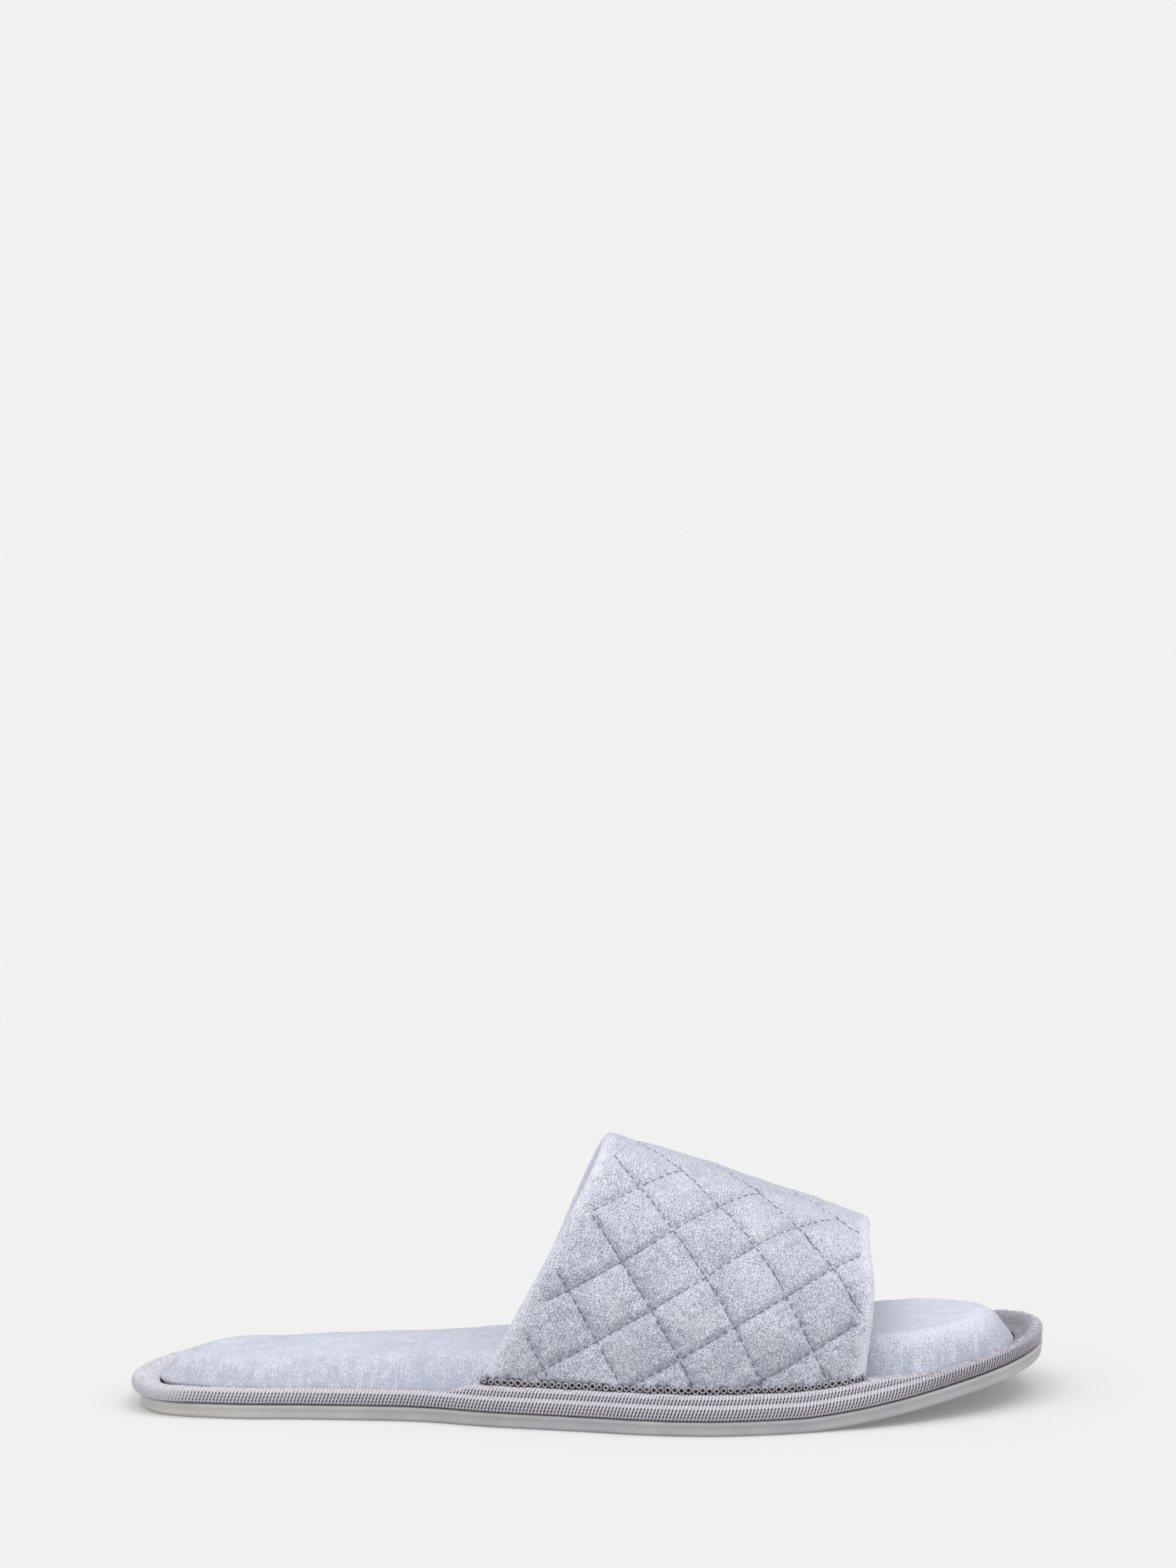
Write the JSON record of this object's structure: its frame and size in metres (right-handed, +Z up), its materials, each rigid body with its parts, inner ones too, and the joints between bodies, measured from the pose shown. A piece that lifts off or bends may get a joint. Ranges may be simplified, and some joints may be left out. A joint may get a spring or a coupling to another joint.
{
  "type": "scuff slipper",
  "caption": "Open-toe, open-back house slipper: quilted padded band, soft padded insole and thin flat sole edged with ribbed tape.",
  "frame": {"origin": "on the floor, under the middle of the bounding box", "axes": "+X from heel to toe, +Y to the big-toe (inner) side, +Z up"},
  "size_m": [0.26, 0.1, 0.0758],
  "materials": {
    "outsole_rubber": "moulded foam rubber, satin grey",
    "binding_tape": "ribbed fold-over tape, warm grey",
    "insole_velour": "heathered velour, pale blue-grey",
    "upper_velour": "quilted heathered velour, pale blue-grey"
  },
  "bodies": {
    "root": {"outsole": "outsole_rubber", "edge_binding": "binding_tape", "insole": "insole_velour", "upper": "upper_velour"}
  },
  "joints": []
}
